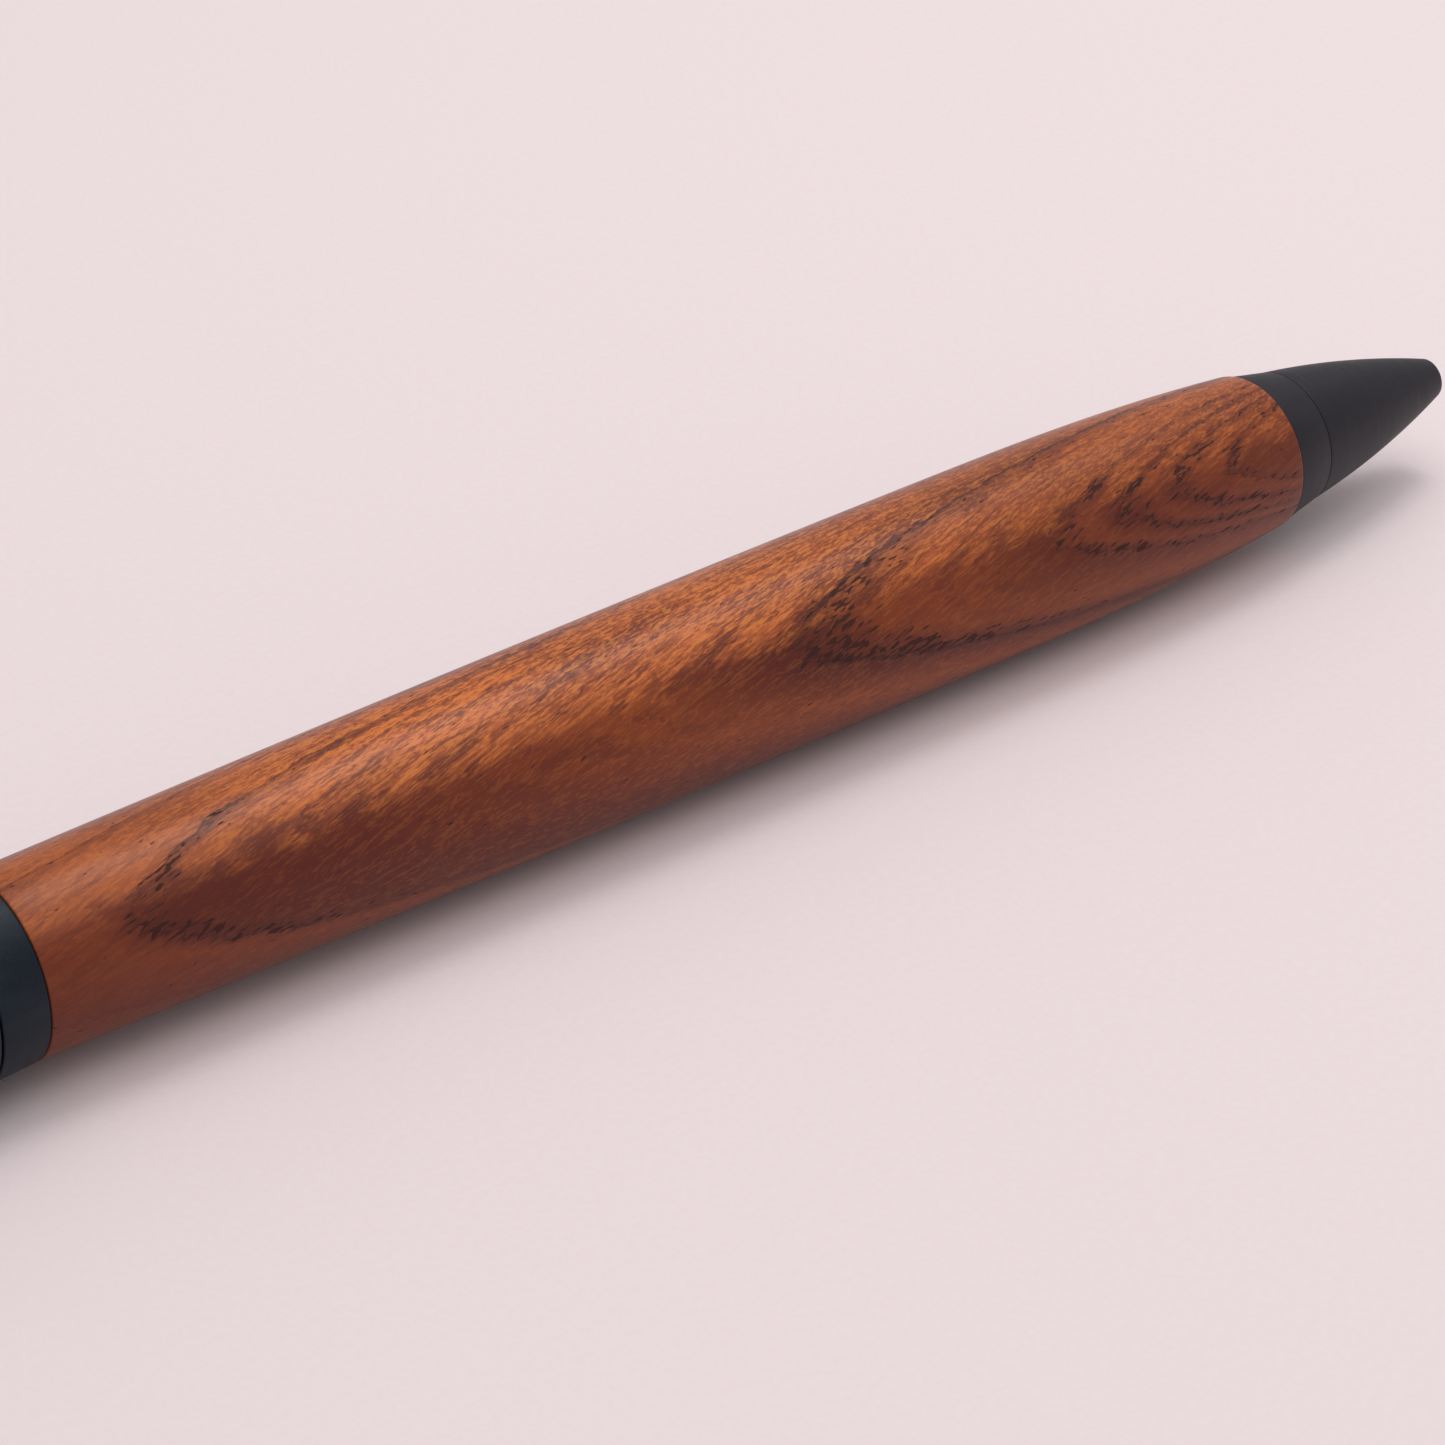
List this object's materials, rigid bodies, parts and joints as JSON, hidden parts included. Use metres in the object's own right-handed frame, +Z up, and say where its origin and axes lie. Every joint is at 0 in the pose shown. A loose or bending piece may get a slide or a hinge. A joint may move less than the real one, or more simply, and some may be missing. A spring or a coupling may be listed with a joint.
{
  "type": "twist-action ballpoint pen",
  "caption": "Twist-action ballpoint pen lying on its side: swelling turned wooden barrel, matte black cone, band, upper housing and pocket clip, with a refill and return spring inside.",
  "frame": {"origin": "middle of the bottom of the bounding box, on the surface the pen lies on", "axes": "+X along the pen towards its nose, +Z up from the surface, +Y away from the viewer with the nose to the right; the clip is on the +Y side, low down"},
  "size_m": [0.1396, 0.0136, 0.012],
  "materials": {
    "black_metal": "matte black, slightly warm",
    "band_metal": "satin blue-black",
    "turned_wood": "satin oiled, ring-porous reddish brown",
    "brass": "drawn, unpolished",
    "refill_steel": "drawn, satin",
    "spring_steel": "bright drawn wire",
    "carbide": "ground",
    "white_plastic": "moulded, off-white",
    "black_rubber": "matte",
    "ink": "wet, blue-black"
  },
  "bodies": {
    "barrel": {"front_coupler": "black_metal", "wooden_barrel": "turned_wood", "barrel_liner": "brass", "rear_coupler": "band_metal", "friction_o_ring": "black_rubber", "mechanism_body": "brass"},
    "spring": {"return_spring": "spring_steel"},
    "nose": {"nose_cone": "black_metal"},
    "refill": {"refill_tip": "brass", "refill_tube": "refill_steel", "ink_column": "ink", "refill_plug": "white_plastic", "pusher": "white_plastic", "follower_pin": "refill_steel"},
    "ball": {"writing_ball": "carbide"},
    "upper": {"cam_sleeve": "brass", "snap_ring": "spring_steel", "drive_bushing": "brass", "upper_housing": "band_metal", "end_plug": "brass", "clip_plate": "black_metal", "finial": "band_metal"},
    "clip": {"clip_arm": "black_metal"}
  },
  "joints": [
    {"name": "housing_twist", "type": "hinge", "parent": "barrel", "child": "upper", "pos_m": [-0.042, -0.00079, 0.006], "axis": [1, 0, 0], "range_deg": [0, 180]},
    {"name": "refill_slide", "type": "slide", "parent": "barrel", "child": "refill", "axis": [1, 0, 0], "range_m": [0, 0.004], "deforming": ["return_spring"]},
    {"name": "ball_roll", "type": "hinge", "parent": "refill", "child": "ball", "pos_m": [0.06805, -0.00079, 0.006], "axis": [0, 1, 0], "continuous": true},
    {"name": "nose_travel", "type": "slide", "parent": "barrel", "child": "spring", "axis": [1, 0, 0], "range_m": [0, 0.0045]},
    {"name": "nose_turn", "type": "hinge", "parent": "spring", "child": "nose", "pos_m": [0.05625, -0.00079, 0.006], "axis": [1, 0, 0], "range_deg": [0, 2160]},
    {"name": "clip_flex", "type": "hinge", "parent": "upper", "child": "clip", "pos_m": [-0.06477, 0.00345, 0.00326], "axis": [0, 0.5428, 0.8399], "range_deg": [0, 5], "stiffness_Nm_per_rad": 0.7}
  ],
  "couplings": [
    {"joint": "refill_slide", "follows": "housing_twist", "m_per_rad": 0.0012732},
    {"joint": "nose_turn", "follows": "nose_travel", "rad_per_m": 8377.6}
  ]
}
